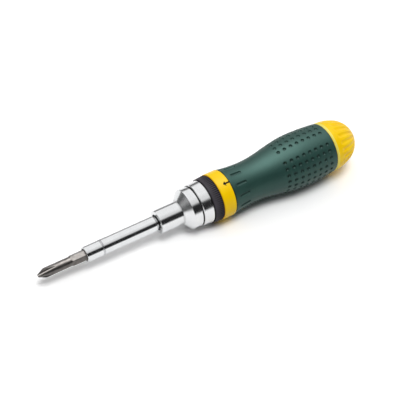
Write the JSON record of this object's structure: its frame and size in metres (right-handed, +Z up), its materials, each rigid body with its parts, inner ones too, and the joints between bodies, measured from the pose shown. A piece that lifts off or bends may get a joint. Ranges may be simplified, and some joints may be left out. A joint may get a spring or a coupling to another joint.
{
  "type": "ratcheting screwdriver",
  "caption": "Hand screwdriver: a double-ended hex bit in a pull-out round shaft, a reversing ratchet with a selector ring, a dimpled soft grip and a pull-off cap over spare bits.",
  "frame": {"origin": "the bit's working tip, on the tool's axis", "axes": "+X along the tool from the bit's tip to the end cap, +Z up as the tool lies, with the collar's arrow 22 degrees from +Z towards -Y"},
  "size_m": [0.2339, 0.0366, 0.0366],
  "materials": {
    "bit_steel": "sand-blasted tool steel, brownish grey",
    "chrome": "bright chrome plating over turned steel",
    "spring_steel": "hardened spring steel",
    "tool_steel": "hardened, lightly oiled",
    "washer_acetal": "black acetal",
    "selector_plastic": "fine-ribbed black moulding",
    "yellow_plastic": "satin yellow moulding",
    "green_rubber": "dark green soft overmould, dimpled",
    "seal_rubber": "black seal rubber",
    "magazine_plastic": "black moulding"
  },
  "bodies": {
    "handle": {"handle_core": "yellow_plastic", "grip_sleeve": "green_rubber", "ratchet_housing": "chrome", "thrust_washer": "washer_acetal", "pawl_pins": "tool_steel", "pawl_spring": "spring_steel", "detent_spring": "spring_steel"},
    "selector": {"selector_ring": "selector_plastic"},
    "pawl_a": {"forward_pawl": "tool_steel"},
    "pawl_b": {"reverse_pawl": "tool_steel"},
    "drive": {"nose_sleeve": "chrome", "drive_spindle": "tool_steel", "shank_snap_ring": "spring_steel", "clip_washer": "spring_steel", "spindle_circlip": "spring_steel"},
    "shaft": {"bit_holder_shaft": "chrome", "bit_spring_band": "spring_steel", "bit_detent_ball": "spring_steel"},
    "bit": {"drive_bit": "bit_steel"},
    "cap": {"end_cap": "yellow_plastic", "cap_seal": "seal_rubber", "bit_magazine": "magazine_plastic", "spare_bits": "bit_steel"}
  },
  "joints": [
    {"name": "selector_turn", "type": "hinge", "parent": "handle", "child": "selector", "pos_m": [0.121, 0, 0], "axis": [1, 0, 0], "range_deg": [-18, 18], "deforming": ["pawl_spring", "detent_spring"]},
    {"name": "forward_pawl_rock", "type": "hinge", "parent": "handle", "child": "pawl_a", "pos_m": [0.121, 0.00758, 0.00636], "axis": [1, 0, 0], "range_deg": [-5.6, 5.6]},
    {"name": "reverse_pawl_rock", "type": "hinge", "parent": "handle", "child": "pawl_b", "pos_m": [0.121, -0.00758, 0.00636], "axis": [1, 0, 0], "range_deg": [-5.6, 5.6]},
    {"name": "drive_spin", "type": "hinge", "parent": "handle", "child": "drive", "pos_m": [0.112, 0, 0], "axis": [1, 0, 0], "continuous": true},
    {"name": "shaft_pull", "type": "slide", "parent": "drive", "child": "shaft", "axis": [-1, 0, 0], "range_m": [0, 0.024]},
    {"name": "bit_pull", "type": "slide", "parent": "shaft", "child": "bit", "axis": [-1, 0, 0], "range_m": [0, 0.042]},
    {"name": "cap_pull", "type": "slide", "parent": "handle", "child": "cap", "axis": [1, 0, 0], "range_m": [0, 0.075]}
  ],
  "couplings": [
    {"joint": "forward_pawl_rock", "follows": "selector_turn", "ratio": 0.296},
    {"joint": "reverse_pawl_rock", "follows": "selector_turn", "ratio": 0.296}
  ]
}
